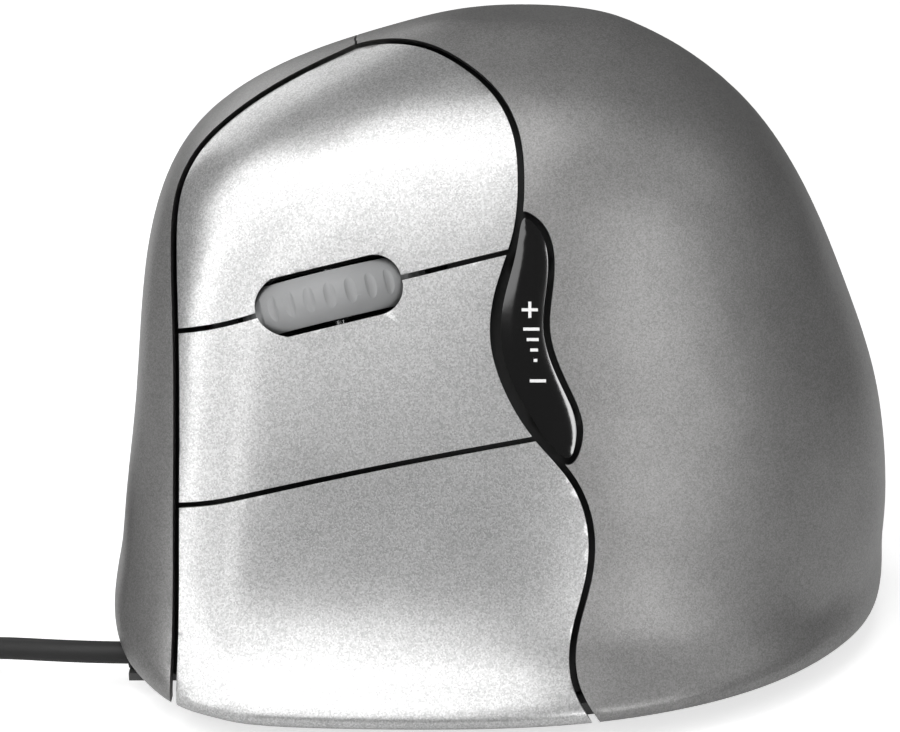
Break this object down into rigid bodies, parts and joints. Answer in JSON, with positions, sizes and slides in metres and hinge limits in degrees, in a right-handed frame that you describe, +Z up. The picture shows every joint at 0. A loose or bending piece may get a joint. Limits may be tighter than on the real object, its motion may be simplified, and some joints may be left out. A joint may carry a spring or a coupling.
{
  "type": "vertical ergonomic mouse",
  "caption": "Upright corded hand mouse with finger buttons and a scroll wheel on its leaning face, a speed rocker, thumb buttons and a coiled cord ending in a flat plug.",
  "frame": {"origin": "centre of the footprint on the desk", "axes": "+Y toward the cord, +X toward the thumb side, +Z up from the desk"},
  "size_m": [0.0946, 0.2046, 0.084],
  "materials": {
    "pewter_shell": "satin dark pewter paint with fine flake",
    "pewter_front": "satin dark pewter paint with fine flake",
    "silver_panel": "silver flake lacquer",
    "black_plastic": "moulded black",
    "tray_plastic": "fine spark texture",
    "glide_feet": "smooth low friction pads",
    "screw_steel": "blackened steel",
    "pin_steel": "ground steel",
    "switch_housing": "moulded black",
    "switch_plunger": "pale moulded",
    "board_green": "solder mask",
    "gloss_black": "piano black",
    "thumb_keys": "satin black",
    "wheel_rubber": "mid grey soft rubber",
    "chip_black": "moulded epoxy",
    "clear_lens": "clear moulded",
    "red_led": "clear red resin",
    "capacitor_can": "drawn can",
    "socket_white": "natural nylon",
    "cord_rubber": "matt black jacket",
    "cord_inner": "bundled wires",
    "tie_plastic": "flat strap",
    "plug_steel": "nickel plated",
    "gold_contact": "gold plated"
  },
  "bodies": {
    "housing": {"palm_shell": "pewter_shell", "thumb_shell": "pewter_front", "inner_frame": "black_plastic", "base_tray": "tray_plastic", "glide_feet": "glide_feet", "housing_screws": "screw_steel", "board_screws": "screw_steel", "button_switches": "switch_housing", "hinge_rod": "pin_steel", "button_board": "board_green", "rocker_pin": "pin_steel", "rocker_switches": "switch_housing", "thumb_board": "board_green", "thumb_switches": "switch_housing", "carrier_pin": "pin_steel", "click_switch": "switch_housing", "main_board": "board_green", "optical_sensor": "chip_black", "sensor_lens": "clear_lens", "sensor_led": "red_led", "controller_chip": "chip_black", "capacitors": "capacitor_can", "cord_socket": "socket_white", "cord_grommet": "cord_rubber", "cord_inner": "cord_inner", "cord_lead": "cord_rubber", "cord_coil": "cord_rubber", "cord_tail": "cord_rubber", "cord_ties": "tie_plastic", "plug_grip": "cord_rubber", "plug_shell": "plug_steel", "plug_tongue": "socket_white", "plug_contacts": "gold_contact"},
    "lower_key": {"lower_button": "silver_panel"},
    "middle_key": {"middle_button": "silver_panel"},
    "upper_key": {"upper_button": "silver_panel"},
    "lower_press": {"lower_plunger": "switch_plunger"},
    "middle_press": {"middle_plunger": "switch_plunger"},
    "upper_press": {"upper_plunger": "switch_plunger"},
    "rocker": {"speed_rocker": "gloss_black"},
    "rear_thumb_key": {"rear_thumb_button": "thumb_keys"},
    "front_thumb_key": {"front_thumb_button": "thumb_keys"},
    "carrier": {"wheel_carrier": "black_plastic", "wheel_encoder": "switch_housing"},
    "wheel": {"wheel_tyre": "wheel_rubber", "wheel_hub": "black_plastic", "wheel_axle": "pin_steel"}
  },
  "joints": [
    {"name": "lower_button_press", "type": "hinge", "parent": "housing", "child": "lower_key", "pos_m": [-0.01642, 0.005, 0.03981], "axis": [-0.3649, 0, -0.9311], "range_deg": [0, 1], "stiffness_Nm_per_rad": 6, "springref_deg": -1.15},
    {"name": "middle_button_press", "type": "hinge", "parent": "housing", "child": "middle_key", "pos_m": [-0.01642, 0.005, 0.03981], "axis": [-0.3649, 0, -0.9311], "range_deg": [0, 1], "stiffness_Nm_per_rad": 6, "springref_deg": -1.15},
    {"name": "upper_button_press", "type": "hinge", "parent": "housing", "child": "upper_key", "pos_m": [-0.01642, 0.005, 0.03981], "axis": [-0.3649, 0, -0.9311], "range_deg": [0, 1], "stiffness_Nm_per_rad": 6, "springref_deg": -1.15},
    {"name": "lower_plunger_slide", "type": "slide", "parent": "housing", "child": "lower_press", "axis": [0.9311, 0, -0.3649], "range_m": [0, 0.0005]},
    {"name": "middle_plunger_slide", "type": "slide", "parent": "housing", "child": "middle_press", "axis": [0.9311, 0, -0.3649], "range_m": [0, 0.0005]},
    {"name": "upper_plunger_slide", "type": "slide", "parent": "housing", "child": "upper_press", "axis": [0.9311, 0, -0.3649], "range_m": [0, 0.0005]},
    {"name": "rocker_tilt", "type": "hinge", "parent": "housing", "child": "rocker", "pos_m": [-0.01444, -0.00214, 0.04761], "axis": [0, 1, 0], "range_deg": [-2.4, 2.4], "stiffness_Nm_per_rad": 1.5},
    {"name": "rear_thumb_press", "type": "slide", "parent": "housing", "child": "rear_thumb_key", "axis": [-1, 0, 0], "range_m": [0, 0.0006], "stiffness_N_per_m": 1200, "springref_m": -0.0002},
    {"name": "front_thumb_press", "type": "slide", "parent": "housing", "child": "front_thumb_key", "axis": [-1, 0, 0], "range_m": [0, 0.0006], "stiffness_N_per_m": 1200, "springref_m": -0.0002},
    {"name": "wheel_click", "type": "hinge", "parent": "housing", "child": "carrier", "pos_m": [-0.01114, 0.03776, 0.04836], "axis": [0.3548, 0.2334, 0.9053], "range_deg": [0, 1.4], "stiffness_Nm_per_rad": 8, "springref_deg": -1.15},
    {"name": "wheel_spin", "type": "hinge", "parent": "carrier", "child": "wheel", "pos_m": [-0.00983, 0.02279, 0.05171], "axis": [0.3548, 0.2334, 0.9053], "continuous": true}
  ],
  "couplings": [
    {"joint": "lower_plunger_slide", "follows": "lower_button_press", "m_per_rad": 0.02496},
    {"joint": "middle_plunger_slide", "follows": "middle_button_press", "m_per_rad": 0.02442},
    {"joint": "upper_plunger_slide", "follows": "upper_button_press", "m_per_rad": 0.02175}
  ]
}
